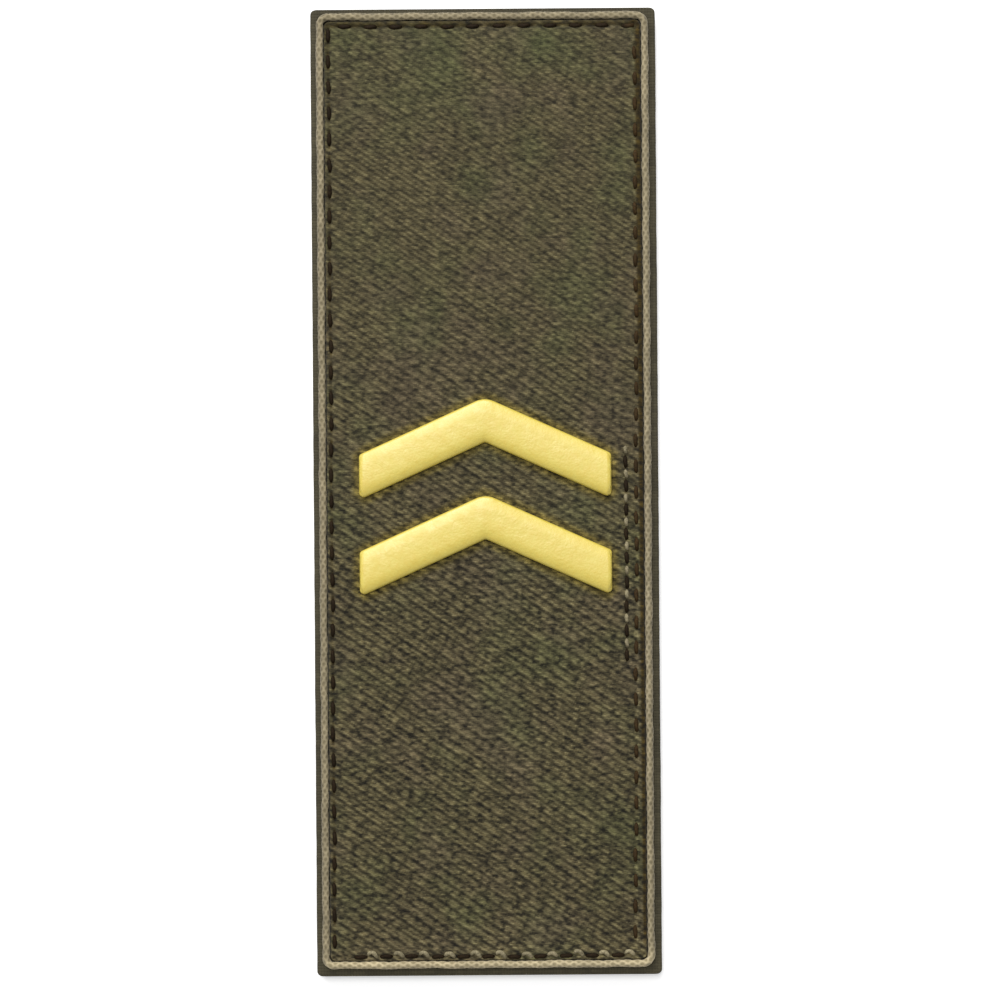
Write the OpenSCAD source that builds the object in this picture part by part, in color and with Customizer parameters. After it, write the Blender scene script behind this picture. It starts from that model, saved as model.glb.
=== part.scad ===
// Rank insignia for a shoulder strap: a long cloth patch with two raised chevrons, lying on its back.
// The origin is under the middle of the patch. X runs across it, Y towards the chevrons' points, and
// Z out of its face. All sizes are in millimetres.

/* [Patch] */
// Width of the patch, across the shoulder strap
patch_w = 50; // [44:1:60]
// Length of the patch, along the shoulder strap
patch_l = 140; // [110:1:160]

/* [Hook tape] */
// Thickness of the tape's woven web
web_t = 1; // [1:0.1:1.6]
// Height of the field of hooks under the web
hook_h = 1; // [0.6:0.1:1.6]
// Plain selvage beside the hooks on each long side
selvage_w = 3; // [1.5:0.25:5]
// Plain strip between the hooks and each cut end
cut_end_w = 0.6; // [0.2:0.1:2]
// Radius of the web's corners
web_corner_r = 0.7; // [0.3:0.1:1.5]

/* [Edge cord] */
// Diameter of the cord laid round the face cloth
cord_d = 1.1; // [0.8:0.1:1.4]
// Radius of the cord's middle line round a corner
cord_bend_r = 1.2; // [0.9:0.1:1.4]
// Web left bare outside the cord on the left side
left_margin = 0.85; // [0.3:0.05:2]
// Web left bare outside the cord on the right side
right_margin = 1.05; // [0.3:0.05:2]
// Web left bare outside the cord at the top end
top_margin = 0.65; // [0.2:0.05:2]
// Web left bare outside the cord at the bottom end
bottom_margin = 1.15; // [0.2:0.05:2]

/* [Face cloth] */
// Thickness of the face cloth with the interlining bonded under it
face_t = 1; // [1:0.1:1.6]
// Radius of the cloth's corners
face_corner_r = 0.9; // [0.9:0.1:1.5]
// Distance from the cloth's edge to the seam
seam_inset = 0.6; // [0.6:0.05:2]
// Width of the valley that the seam pulls into the cloth
seam_valley_w = 1; // [0.8:0.05:1.1]
// Depth of the valley where the needle went through
seam_depth = 0.5; // [0.2:0.05:0.6]
// Depth of the valley between two needle holes, as a share of that
seam_hump = 0.55; // [0.2:0.05:1]
// Length of one stitch
stitch_pitch = 3.75; // [2.5:0.05:6]

/* [Chevrons] */
// Width of a chevron over both arms
chevron_w = 36.4; // [26:0.2:38]
// Height of an arm, measured along the patch
arm_h = 6.5; // [5:0.1:9]
// Fall of an arm from the point to its end
arm_fall = 8.2; // [5:0.1:10]
// Thickness of a chevron
chevron_t = 1.2; // [0.9:0.05:1.6]
// Width of the soft shoulder round a chevron's face, seen from above
shoulder_w = 1.4; // [0.4:0.1:1.5]
// Fall of the face over that shoulder
shoulder_h = 0.7; // [0.3:0.05:0.8]
// Radius of the four corners at the arms' ends, seen from above
end_r = 0.65; // [0.6:0.05:1]
// Radius of the blunted point, seen from above
point_r = 3.25; // [1:0.25:6]
// Radius of the inner corner under the point, seen from above
crotch_r = 0.5; // [0.2:0.05:2]
// Distance of the upper chevron's point from the middle of the patch
upper_point_y = 13.7; // [10:0.1:30]
// Distance from one chevron to the next, measured along the patch
chevron_pitch = 14; // [12:0.1:18]

/* [Hidden] */

// Gap between the cord and what it lies against
fit_gap = 0.05;
// Facets of a full circle
$fn = 64;
// Steps of an arc at a corner of a chevron, and of the shoulder round its face
ARC_STEPS = 5;
SHOULDER_STEPS = 5;

web_z = hook_h;
face_z = web_z + web_t;
chevron_z = face_z + face_t;

// The cord's ring, the cloth inside it and the chevrons lie a little nearer to the left side than to the
// right, and the ring and the cloth nearer to the top end than to the bottom end
ring_w = patch_w - left_margin - right_margin;
ring_l = patch_l - top_margin - bottom_margin;
ring_x = (left_margin - right_margin) / 2;
ring_y = (bottom_margin - top_margin) / 2;
face_w = ring_w - 2 * (cord_d + fit_gap);
face_l = ring_l - 2 * (cord_d + fit_gap);

// Whole stitches along an end and along a side of the seam
stitches_w = round((face_w - 2 * seam_inset) / stitch_pitch);
stitches_l = round((face_l - 2 * seam_inset) / stitch_pitch);

// Section of the cloth's rim, from under its edge, over the lip and through the seam to the flat field.
// Columns: distance in from the edge, height over the web, and share of the seam's pull.
INSET = 0;
HEIGHT = 1;
PULL = 2;
valley = seam_valley_w / 2;
RIM = [
    [0.15, 0, 0],
    [0, 0.3 * face_t, 0],
    [0.03, 0.75 * face_t, 0],
    [seam_inset - valley, face_t, 0],
    [seam_inset - valley / 2, face_t, 0.55],
    [seam_inset, face_t, 1],
    [seam_inset + valley / 2, face_t, 0.55],
    [seam_inset + valley, face_t, 0.1],
    [seam_inset + 2 * valley, face_t, 0]
];
// Smallest corner radius of a line inside the edge of the cloth or of a chevron
least_corner_r = 0.1;

arm_slope = arm_fall / (chevron_w / 2);

function unit(v) = v / norm(v);

// Points at equal steps from a to b, both ends included
function steps_between(a, b, n) = [for (k = [0:n]) a + (b - a) * k / n];

// Points of the arc of radius r that rounds the corner b between the lines to a and to c
function rounded_corner(a, b, c, r) =
    let (
        to_a = unit(a - b),
        to_c = unit(c - b),
        half_angle = acos(to_a * to_c) / 2,
        reach = r / tan(half_angle),
        middle = b + unit(to_a + to_c) * r / sin(half_angle),
        first = unit(b + to_a * reach - middle),
        last = unit(b + to_c * reach - middle),
        turn = 180 - 2 * half_angle
    )
    [for (f = [0:1 / ARC_STEPS:1])
        middle + r * (sin((1 - f) * turn) * first + sin(f * turn) * last) / sin(turn)];

// Outline of the cloth at a distance in from its edge, counter-clockwise from the right side's lower
// end, with two points to a stitch and one more at the middle of each corner
function cloth_outline(inset) =
    let (
        x = face_w / 2 - inset,
        y = face_l / 2 - inset,
        r = max(face_corner_r - inset, least_corner_r),
        c = r * (1 - cos(45))
    )
    concat(
        steps_between([x, r - y], [x, y - r], 2 * stitches_l), [[x - c, y - c]],
        steps_between([x - r, y], [r - x, y], 2 * stitches_w), [[c - x, y - c]],
        steps_between([-x, y - r], [-x, r - y], 2 * stitches_l), [[c - x, c - y]],
        steps_between([r - x, -y], [x - r, -y], 2 * stitches_w), [[x - c, c - y]]
    );

// Depth of the seam at the points of that outline: full at each needle hole, less between two
function side_depths(stitches) = [for (k = [0:2 * stitches]) seam_depth * (k % 2 == 0 ? 1 : seam_hump)];
seam_depths = concat(
    side_depths(stitches_l), [seam_depth], side_depths(stitches_w), [seam_depth],
    side_depths(stitches_l), [seam_depth], side_depths(stitches_w), [seam_depth]
);

// One line of the cloth's rim, as points in space
function cloth_ring(row) =
    let (outline = cloth_outline(row[INSET]))
    [for (k = [0:len(outline) - 1])
        [outline[k].x, outline[k].y, row[HEIGHT] - row[PULL] * seam_depths[k]]];

// Sharp corners of a chevron at a distance in from its edge, with the point at the origin
function chevron_corners(inset) =
    let (
        x = chevron_w / 2 - inset,
        shift = inset * sqrt(1 + arm_slope * arm_slope),
        low = shift - arm_h
    )
    [
        [x, low - arm_slope * x], [x, -shift - arm_slope * x], [0, -shift],
        [-x, -shift - arm_slope * x], [-x, low - arm_slope * x], [0, low]
    ];

// Outline of a chevron at a distance in from its edge, counter-clockwise from the right arm's end:
// going in, an outer corner gets sharper and the inner corner rounder
function chevron_outline(inset) =
    let (
        corners = chevron_corners(inset),
        at_end = max(end_r - inset, least_corner_r),
        at_point = max(point_r - inset, least_corner_r),
        radii = [at_end, at_end, at_point, at_end, at_end, crotch_r + inset],
        n = len(corners)
    )
    [for (k = [0:n - 1])
        each rounded_corner(corners[(k + n - 1) % n], corners[k], corners[(k + 1) % n], radii[k])];

// A quarter of an ellipse takes the chevron's wall over into its face
function chevron_ring(angle) =
    [for (p = chevron_outline(shoulder_w * (1 - cos(angle))))
        [p.x, p.y, chevron_t - shoulder_h * (1 - sin(angle))]];

// Faces between rings of n points each, from the lowest ring up the outside to the last
function wall_faces(rings, n) = [
    for (i = [0:len(rings) - 2], k = [0:n - 1])
        let (a = i * n + k, b = a + n, d = i * n + (k + 1) % n, c = d + n)
        each [[a, b, c], [a, c, d]]
];

// Flat face over a ring of n points, as a ladder of four-sided rungs between its two long chains of
// points, which start side by side at the points first - 1 and first
function ladder_faces(n, first) = [
    for (j = [0:n / 2 - 2])
        [(first - 1 - j + n) % n, first + j, first + j + 1, (first - 2 - j + n) % n]
];

function turned_over(faces, shift) = [for (f = faces) [for (k = [len(f) - 1:-1:0]) f[k] + shift]];

// Closed solid through such rings, with a flat floor and top that are ladders from the point first
module solid_through(rings, first) {
    n = len(rings[0]);
    floor_faces = ladder_faces(n, first);
    top_faces = turned_over(floor_faces, (len(rings) - 1) * n);
    points = [for (ring = rings) each ring];
    polyhedron(points = points, faces = concat(floor_faces, wall_faces(rings, n), top_faces));
}

// The same with its flat floor and top in triangles round a middle point, for rings with points in line
module solid_round_middle(rings) {
    n = len(rings[0]);
    last = (len(rings) - 1) * n;
    floor_middle = last + n;
    top_middle = floor_middle + 1;
    floor_faces = [for (k = [0:n - 1]) [k, (k + 1) % n, floor_middle]];
    top_faces = [for (k = [0:n - 1]) [last + (k + 1) % n, last + k, top_middle]];
    middles = [[0, 0, rings[0][0].z], [0, 0, rings[len(rings) - 1][0].z]];
    points = concat([for (ring = rings) each ring], middles);
    polyhedron(points = points, faces = concat(floor_faces, wall_faces(rings, n), top_faces));
}

module rounded_rectangle(w, l, r) {
    square([w - 2 * r, l], center = true);
    square([w, l - 2 * r], center = true);
    for (x = [-1, 1], y = [-1, 1])
        translate([x * (w / 2 - r), y * (l / 2 - r)])
            circle(r);
}

// Round cord whose middle line is a rectangle w by l with corners of radius r
module cord_ring(w, l, r, d) {
    for (side = [0:3]) {
        along = side % 2 == 0 ? l : w;
        across = side % 2 == 0 ? w : l;
        rotate(side * 90) {
            translate([across / 2, r - along / 2, 0])
                rotate([-90, 0, 0])
                    cylinder(d = d, h = along - 2 * r);
            translate([across / 2 - r, along / 2 - r, 0])
                rotate_extrude(angle = 90)
                    translate([r, 0])
                        circle(d = d);
        }
    }
}

// Woven web as large as the patch, with the field of hooks standing down from it
module hook_tape() {
    color("#4b4731") {
        translate([0, 0, web_z])
            linear_extrude(web_t)
                rounded_rectangle(patch_w, patch_l, web_corner_r);
        linear_extrude(hook_h)
            square([patch_w - 2 * selvage_w, patch_l - 2 * cut_end_w], center = true);
    }
}

// Olive cloth with a soft rolled edge and a valley where its seam pulls it down
module face_cloth() {
    color("#565139")
        translate([ring_x, ring_y, face_z])
            solid_round_middle([for (row = RIM) cloth_ring(row)]);
}

// Khaki cord lying on the web, right round the cloth
module edge_cord() {
    color("#968c70")
        translate([ring_x, ring_y, face_z + cord_d / 2 + fit_gap])
            cord_ring(ring_w - cord_d, ring_l - cord_d, cord_bend_r, cord_d);
}

// Soft moulded chevron lying on the cloth, with its point at the given distance from the middle
module chevron(point_y) {
    straight_wall = [for (p = chevron_outline(0)) [p.x, p.y, 0]];
    shoulder = [for (k = [0:SHOULDER_STEPS]) chevron_ring(k * 90 / SHOULDER_STEPS)];
    color("#f4e67a")
        translate([ring_x, point_y, chevron_z])
            solid_through(concat([straight_wall], shoulder), ARC_STEPS + 1);
}

module chevron_upper() {
    chevron(upper_point_y);
}

module chevron_lower() {
    chevron(upper_point_y - chevron_pitch);
}

hook_tape();
face_cloth();
edge_cord();
chevron_upper();
chevron_lower();
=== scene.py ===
"""Dresses the rank insignia: a twill face on a hook tape, a khaki cord round it and two moulded chevrons.

The patch lies on its back. X runs across it, Y towards the chevrons' points and Z out of its face.
Every length is in metres.
"""

import math

import bpy
import numpy as np
from bpy.props import FloatProperty, FloatVectorProperty, IntProperty, PointerProperty
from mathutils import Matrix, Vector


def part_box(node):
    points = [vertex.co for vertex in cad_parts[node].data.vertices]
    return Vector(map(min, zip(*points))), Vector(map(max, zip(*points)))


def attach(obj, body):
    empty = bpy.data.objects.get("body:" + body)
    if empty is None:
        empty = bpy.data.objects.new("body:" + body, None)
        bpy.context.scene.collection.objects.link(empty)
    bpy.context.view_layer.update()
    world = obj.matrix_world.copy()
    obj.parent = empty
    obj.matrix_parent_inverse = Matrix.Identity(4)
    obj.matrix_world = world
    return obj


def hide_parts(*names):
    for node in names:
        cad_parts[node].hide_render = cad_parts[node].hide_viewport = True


bl_info = {
    "name": "Rank Insignia Patch",
    "version": (1, 0, 0),
    "blender": (4, 5, 0),
    "location": "3D View > Sidebar > Insignia",
    "description": "Builds a sewn shoulder insignia with two raised chevrons",
    "category": "Add Mesh",
}

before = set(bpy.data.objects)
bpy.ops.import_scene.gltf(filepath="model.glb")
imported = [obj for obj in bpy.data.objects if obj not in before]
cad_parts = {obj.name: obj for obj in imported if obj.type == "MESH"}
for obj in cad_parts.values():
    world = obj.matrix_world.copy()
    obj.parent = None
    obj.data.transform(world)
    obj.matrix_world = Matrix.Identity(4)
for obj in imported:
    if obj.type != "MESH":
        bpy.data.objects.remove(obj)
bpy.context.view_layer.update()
MM = 0.001
SEED = 11

# The seam's runs go up on the right, along the top, down on the left and along the bottom, and the fifth
# is its overlapping end on the right
BOTTOM_RUN = 3
OVERLAP_RUN = 4
# Way from the corner to the first stitch of each of the first four
RUN_SHIFTS = (2.3 * MM, 0.3 * MM, 0.5 * MM, 2.8 * MM)
# How far further in than the seam's inset each run lies
RUN_STRAYS = (0.3 * MM, 0.3 * MM, 0.1 * MM, 0.0, 0.0)
# How much further in than that each run starts: the right one bends inwards towards its lower end
RUN_LEANS = (0.8 * MM, 0.0, 0.0, 0.0, 0.0)
# How far from the needle holes the loops at the bottom and in the overlap end, as a share of a stitch
BOTTOM_GAP, OVERLAP_GAP = 0.03, 0.06
# A needle hole's pit: its reach along the seam, its reach across it and its share of the valley's depth
HOLE_ALONG, HOLE_ACROSS, HOLE_DEPTH = 0.28 * MM, 0.3 * MM, 0.35
# How far the ripples beside the seam reach into the cloth, and past the end of a run
RIPPLE_REACH, RIPPLE_END = 1.6 * MM, 1 * MM
# Shares of its width between which the strip of painted brown shade along the cloth's edge fades
STRIP_FADE = (0.75, 1.35)
# How much narrower it is on the right, as a share, and how much more at the bottom and less at the top
STRIP_NARROWER, STRIP_NARROWER_END = 0.3, 0.15
# Ways in from the cloth's edge over which the wales and the slow waves rise
WALE_RISE, WAVE_RISE = (0.1 * MM, 0.6 * MM), (1 * MM, 4 * MM)
# How much lower the wales are in the seam's valley, as a share, and how far round a chevron its print goes
WALE_PRESSED, PRINT_REACH = 0.6, 0.9 * MM

CLOTH_LOW, CLOTH_HIGH = (np.array(corner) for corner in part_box("face_cloth"))
CORD_LOW, CORD_HIGH = (np.array(corner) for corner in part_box("edge_cord"))
TAPE_LOW, TAPE_HIGH = (np.array(corner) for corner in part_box("hook_tape"))
CLOTH_MIDDLE = (CLOTH_LOW + CLOTH_HIGH) / 2
CLOTH_HALF = (CLOTH_HIGH - CLOTH_LOW) / 2
CORD_DIAMETER = CORD_HIGH[2] - CORD_LOW[2]
CHEVRONS = ("chevron_upper", "chevron_lower")

# Stretches along the patch over which a look changes: the greener cloth and the stronger painted brown seam
# shade by the top end, the painted shade of the wales and the flecks in the middle, and by the lower end the
# cloth paler with painted light, the end of the painted brown shade, the strip by the cord paler with
# painted light and the cord paler with painted light
TOP_GREEN = (58 * MM, 65 * MM)
TOP_SHADE = (62 * MM, 66 * MM)
MIDDLE = (35 * MM, -15 * MM)
BOTTOM_PALE = (-61 * MM, -66 * MM)
BOTTOM_CLEAR = (-64 * MM, -66.5 * MM)
BOTTOM_EDGE = (-66.6 * MM, -67.4 * MM)
BOTTOM_CORD = (-66 * MM, -68 * MM)
# Stretches across it: from left to right, beside the right run and at the right run
LEFT_TO_RIGHT = (-15 * MM, 15 * MM)
BESIDE_RIGHT_RUN = (15 * MM, 18 * MM)
RIGHT_RUN = (20.4 * MM, 21.2 * MM)


def length(name, description, default):
    """A length property in metres, shown with its unit."""
    return FloatProperty(
        name=name, description=description, default=default, min=0, precision=5, unit="LENGTH"
    )


def amount(name, description, default):
    """A plain number property, from nothing upwards."""
    return FloatProperty(name=name, description=description, default=default, min=0)


def colour(name, description, default):
    """A linear colour property."""
    return FloatVectorProperty(
        name=name, description=description, default=default, subtype="COLOR", min=0, max=1
    )


class ClothSettings(bpy.types.PropertyGroup):
    """The olive twill face."""

    warp_pitch: length("Warp pitch", "Distance between the yarns that run across the patch", 0.2035 * MM)
    weft_pitch: length("Weft pitch", "Distance between the yarns that run along the patch", 0.2995 * MM)
    shafts: IntProperty(name="Shafts", description="Yarns in one repeat of the twill", default=4, min=2)
    ribs: IntProperty(name="Ribs", description="Fine ribs of the twill in one wale", default=2, min=1)
    wale_height: length("Wale height", "Rise of the twill's diagonal wales", 0.1 * MM)
    corner_radius: length("Corner radius", "Radius of the cloth's corners, seen from above", 0.9 * MM)
    edge_radius: length("Edge radius", "Radius of the rolled edge", 0.5 * MM)
    fine_step: length("Fine step", "Mesh step beside the seam", 0.14 * MM)
    fine_reach: length("Fine reach", "Width of the finely meshed border", 2.1 * MM)
    step_across: length("Step across", "Mesh step across the patch", 0.31 * MM)
    step_along: length("Step along", "Mesh step along the patch", 0.275 * MM)
    sway: length("Sway", "Height of the soft unevenness of the whole cloth", 0.05 * MM)
    press_depth: length("Press depth", "How far the chevrons are pressed into the cloth", 0.2 * MM)
    olive: colour("Olive", "Colour of the warp", (0.093, 0.078, 0.037))
    olive_weft: colour("Weft olive", "Colour of the weft, in the hollows", (0.056, 0.045, 0.020))
    green: colour("Green tint", "Greener olive in patches and by the top end", (0.062, 0.070, 0.026))
    brown: colour("Brown tint", "Browner olive in patches", (0.084, 0.062, 0.038))
    # Painted light: a golden glow on the cloth round each chevron lightens its shadow and stands for yellow
    # light thrown back by it. The next two values are its width and colour
    halo: length("Halo", "Width of the strip that the adhesive tints round a chevron", 1.5 * MM)
    painted_glow_gold: colour("Halo gold", "Colour of the cloth in that strip", (0.158, 0.122, 0.030))
    # Painted shade: a brown strip along the cloth's edge and in the seam's valley stands for the shade in
    # the groove beside the cord. The next two values are its width and colour
    edge_shade_width: length("Edge brown", "Width of the brown strip along the cloth's edge", 0.95 * MM)
    painted_seam_shade: colour("Seam brown", "Colour of that strip", (0.036, 0.023, 0.003))


class SeamSettings(bpy.types.PropertyGroup):
    """The seam that holds the patch together."""

    inset: length("Inset", "Distance from the cloth's edge to the seam", 0.6 * MM)
    pitch: length("Pitch", "Length of one stitch", 3.75 * MM)
    dash: amount("Dash", "Share of a stitch that shows on the face", 0.52)
    valley: length("Valley", "Half the width of the valley that the seam pulls", 0.5 * MM)
    depth: length("Depth", "Depth of the valley under a stitch", 0.42 * MM)
    hump: amount("Hump", "Depth between two stitches, as a share of that", 0.3)
    pucker: length("Pucker", "Height of the ripples that run into the cloth from the stitches", 0.04 * MM)
    thread: length("Thread", "Diameter of the thread", 0.62 * MM)
    sunk: amount("Sunk", "Depth of the stitches' ends, as a share of the valley's", 1.35)
    crest: amount("Crest", "Rise of the stitches out of the valley, as a share of their radius", 0.75)
    back_crest: amount("Back crest", "Rise of the stitches on the back, as a share of their radius", 0.7)
    pale: amount("Pale", "How much paler the thread looks in the right run", 2.4)
    overlap_inset: length("Overlap inset", "How far inside the seam its overlapping end runs", 2.0 * MM)
    overlap_pitch: length("Overlap pitch", "Length of one stitch in the overlapping run", 3.5 * MM)
    overlap_start: FloatProperty(
        name="Overlap start",
        description="Lower end of the overlapping run along the patch",
        default=-24.65 * MM,
        precision=5,
        unit="LENGTH",
    )
    overlap_stitches: IntProperty(
        name="Overlap", description="Stitches in the overlapping run", default=9, min=0
    )
    overlap_thin: amount("Overlap thin", "Diameter of its loops, as a share of the thread's", 0.9)
    loop_thin: amount("Loop thin", "Diameter of the loops at the bottom, as a share of the thread's", 0.95)
    loop_depth: amount("Loop depth", "Depth of the loops' middle, as a share of the valley's", 0.3)
    loop_crest: amount("Loop crest", "Rise of the loops over that, as a share of the thread's radius", 0.3)
    loop_bow: length("Loop bow", "How far the loops at the bottom end bow inwards", 0.6 * MM)
    loop_slant: length("Loop slant", "How far each end of those loops lies off the seam", 0.3 * MM)
    brown: colour("Thread brown", "Colour of the thread", (0.016, 0.009, 0.003))
    khaki: colour("Thread khaki", "Colour of the under thread where it is pulled up", (0.25, 0.215, 0.13))


class CordSettings(bpy.types.PropertyGroup):
    """The khaki cord round the cloth."""

    bend_radius: length("Bend radius", "Radius of the cord's middle line round a corner", 1.2 * MM)
    strands: IntProperty(name="Strands", description="Strands braided each way round", default=4, min=2)
    lay: length("Lay", "Length of one full turn of a strand", 5.6 * MM)
    relief: amount("Relief", "Rise of the strands, as a share of the radius", 0.09)
    step: length("Step", "Mesh step along the cord", 0.17 * MM)
    sides: IntProperty(name="Sides", description="Mesh points round the cord", default=18, min=6)
    khaki: colour("Khaki", "Colour of the strands", (0.34, 0.285, 0.175))
    # Painted shade: the next colour darkens the cord between its strands
    khaki_dark: colour("Dark khaki", "Colour between the strands", (0.20, 0.165, 0.095))


class ChevronSettings(bpy.types.PropertyGroup):
    """The two moulded chevrons."""

    arm_height: length("Arm height", "Height of an arm, measured along the patch", 6.5 * MM)
    arm_fall: length("Arm fall", "Fall of an arm from the point to its end", 8.2 * MM)
    point_radius: length("Point radius", "Radius of the blunted point", 3.25 * MM)
    crotch_radius: length("Crotch radius", "Radius of the inner corner under the point", 0.5 * MM)
    end_radius: length("End radius", "Radius of the corners at the arms' ends", 0.65 * MM)
    edge_radius: length("Edge radius", "Radius of the moulded edge round the face", 0.24 * MM)
    shoulder: length("Shoulder", "Width of the soft shoulder beside that edge", 1.8 * MM)
    end_shoulder: length("End shoulder", "Width of the shoulder at an arm's end", 0.6 * MM)
    shoulder_drop: length("Shoulder drop", "How far the face falls over the shoulder", 0.55 * MM)
    dome: length("Dome", "How far the face falls from its middle to its edges", 0.2 * MM)
    step: length("Step", "Mesh step along an arm", 0.35 * MM)
    yellow: colour("Yellow", "Colour of the plastic", (0.775, 0.625, 0.092))
    yellow_deep: colour("Deep yellow", "Colour of its faint mottling", (0.755, 0.565, 0.062))


class TapeSettings(bpy.types.PropertyGroup):
    """The hook tape that backs the patch."""

    hook_height: length("Hook height", "Height of the hooks under the web", 1 * MM)
    corner_radius: length("Corner radius", "Radius of the web's corners", 0.7 * MM)
    edge_radius: length("Edge radius", "Radius of the web's soft edges", 0.3 * MM)
    yarn_pitch: length("Yarn pitch", "Distance between the web's yarns", 0.42 * MM)
    selvage: length("Selvage", "Width of the plain selvage beside the hooks", 3 * MM)
    cut_end: length("Cut end", "Plain strip between the hooks and each end", 0.6 * MM)
    hook_pitch_across: length("Hook pitch across", "Distance between two hooks in a row", 1.25 * MM)
    hook_pitch_along: length("Hook pitch along", "Distance between two rows of hooks", 1.65 * MM)
    hook_wire: length("Hook wire", "Diameter of the hooks' wire", 0.2 * MM)
    hook_bend: length("Hook bend", "Radius of the hooks' bend", 0.24 * MM)
    olive: colour("Tape olive", "Colour of the web", (0.065, 0.056, 0.031))
    # Painted shade: the next colour darkens the web between its yarns
    olive_dark: colour("Dark tape olive", "Colour between the web's yarns", (0.034, 0.028, 0.014))
    hook_olive: colour("Hook olive", "Colour of the hooks", (0.088, 0.078, 0.044))


class StageSettings(bpy.types.PropertyGroup):
    """The floor, the lights and the camera."""

    pixels_per_metre: amount("Pixels per metre", "Scale of the picture at the patch", 6924)
    patch_pixel_x: amount("Patch pixel X", "Middle of the patch in the picture, from the left", 486.05)
    patch_pixel_y: amount("Patch pixel Y", "Middle of the patch in the picture, from the top", 491.95)
    turn: FloatProperty(
        name="Turn",
        description="How far the patch looks turned to the left",
        default=math.radians(0.43),
        unit="ROTATION",
    )
    lens: amount("Lens", "Focal length in millimetres", 85)
    floor_size: length("Floor size", "Side of the floor", 4)
    floor_tone: colour("Floor", "Colour of the floor", (0.97, 0.97, 0.97))
    floor_glow: amount("Floor glow", "Light that the floor gives by itself", 0.36)
    key_power: FloatProperty(
        name="Key", description="Power of the soft light over the patch", default=3.4, unit="POWER"
    )
    rake_power: FloatProperty(
        name="Rake", description="Power of the low light beyond the top end", default=6.85, unit="POWER"
    )
    sky: amount("Sky", "Strength of the light from all round", 0.38)


IMAGE_WIDTH = 1000
IMAGE_HEIGHT = 1001
SENSOR_WIDTH = 36.0
WHITE = (1, 1, 1, 1)
KEY_PLACE, KEY_SIZE = (-0.1, 0.3, 0.87), (0.4, 0.4)
RAKE_PLACE, RAKE_SIZE = (-0.24, 0.77, 0.5), (0.8, 0.35)


def smooth_step(low, high, value):
    """Smooth rise from 0 at low to 1 at high: three times t squared less twice t cubed."""
    t = np.clip((value - low) / (high - low), 0, 1)
    return t * t * (3 - 2 * t)


def roll_drop(distance, radius):
    """Fall of a quarter-round edge at a distance in from the outline: the radius less the circle's rise."""
    rest = np.clip(radius - distance, 0, radius)
    return radius - np.sqrt(radius * radius - rest * rest)


def roll_steps(radius, count):
    """Ways in from the outline at equal angles over a quarter-round edge: the radius less its cosine."""
    return radius * (1 - np.cos(np.linspace(0, math.pi / 2, count)))


def soft_waves(along, across, seed):
    """Sum of five long sine waves with seeded directions and phases, from about -1 to 1."""
    draw = np.random.default_rng(seed)
    total = np.zeros(np.broadcast(along, across).shape)
    for wavelength in (9 * MM, 14 * MM, 21 * MM, 33 * MM, 52 * MM):
        angle, phase = draw.uniform(0, 2 * math.pi, 2)
        total = total + np.sin(
            2 * math.pi * (along * math.sin(angle) + across * math.cos(angle)) / wavelength + phase
        )
    return total / 3


def grid_faces(rows, columns, close_rows=False, close_columns=False, first=0):
    """Quads of a grid of points, row by row, anticlockwise where rows run up and columns to the right."""
    row = np.arange(rows if close_rows else rows - 1)
    column = np.arange(columns if close_columns else columns - 1)
    i, j = np.meshgrid(row, column, indexing="ij")
    below = i * columns
    above = (i + 1) % rows * columns
    right = (j + 1) % columns
    return np.stack([below + j, below + right, above + right, above + j], -1).reshape(-1, 4) + first


def rim_of_grid(rows, columns):
    """Points round the outside of such a grid, anticlockwise from its first point."""
    bottom = np.arange(columns)
    right = np.arange(1, rows) * columns + columns - 1
    top = (rows - 1) * columns + np.arange(columns - 2, -1, -1)
    left = np.arange(rows - 2, 0, -1) * columns
    return np.concatenate([bottom, right, top, left])


def closed_sections(x, y, z):
    """Points and faces of a solid whose rows are closed sections, clockwise as seen from the last one.

    Its two ends are closed by one face each.
    """
    rows, columns = x.shape
    points = np.stack([x, y, z], -1).reshape(-1, 3)
    first = np.arange(columns)[None]
    last = (rows - 1) * columns + np.arange(columns)[None, ::-1]
    return points, [grid_faces(rows, columns, close_columns=True)[:, ::-1], first, last]


def add_object(name, data):
    """An object in the scene that holds the data."""
    made = bpy.data.objects.new(name, data)
    bpy.context.scene.collection.objects.link(made)
    return made


def add_piece(name, points, faces, material, slot, replaced=()):
    """Makes a smooth mesh at the origin from points and arrays of faces, and ties it to the frame."""
    mesh = bpy.data.meshes.new(name)
    corners = np.concatenate([f.ravel() for f in faces])
    sizes = np.concatenate([np.full(len(f), f.shape[1]) for f in faces])
    starts = np.concatenate([[0], np.cumsum(sizes)[:-1]])
    mesh.vertices.add(len(points))
    mesh.vertices.foreach_set("co", points.astype(np.float32).ravel())
    mesh.loops.add(len(corners))
    mesh.loops.foreach_set("vertex_index", corners.astype(np.int32))
    mesh.polygons.add(len(sizes))
    mesh.polygons.foreach_set("loop_start", starts.astype(np.int32))
    mesh.polygons.foreach_set("use_smooth", np.ones(len(sizes), bool))
    mesh.update(calc_edges=True)
    mesh.materials.append(material)
    piece = add_object(name, mesh)
    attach(piece, "root")
    if replaced:
        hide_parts(*replaced)
    return piece


def add_marks(piece, marks):
    """Stores named numbers for the points of a piece, for its material."""
    for name, values in marks.items():
        attribute = piece.data.attributes.new(name, "FLOAT", "POINT")
        attribute.data.foreach_set("value", values.astype(np.float32).ravel())


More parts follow.
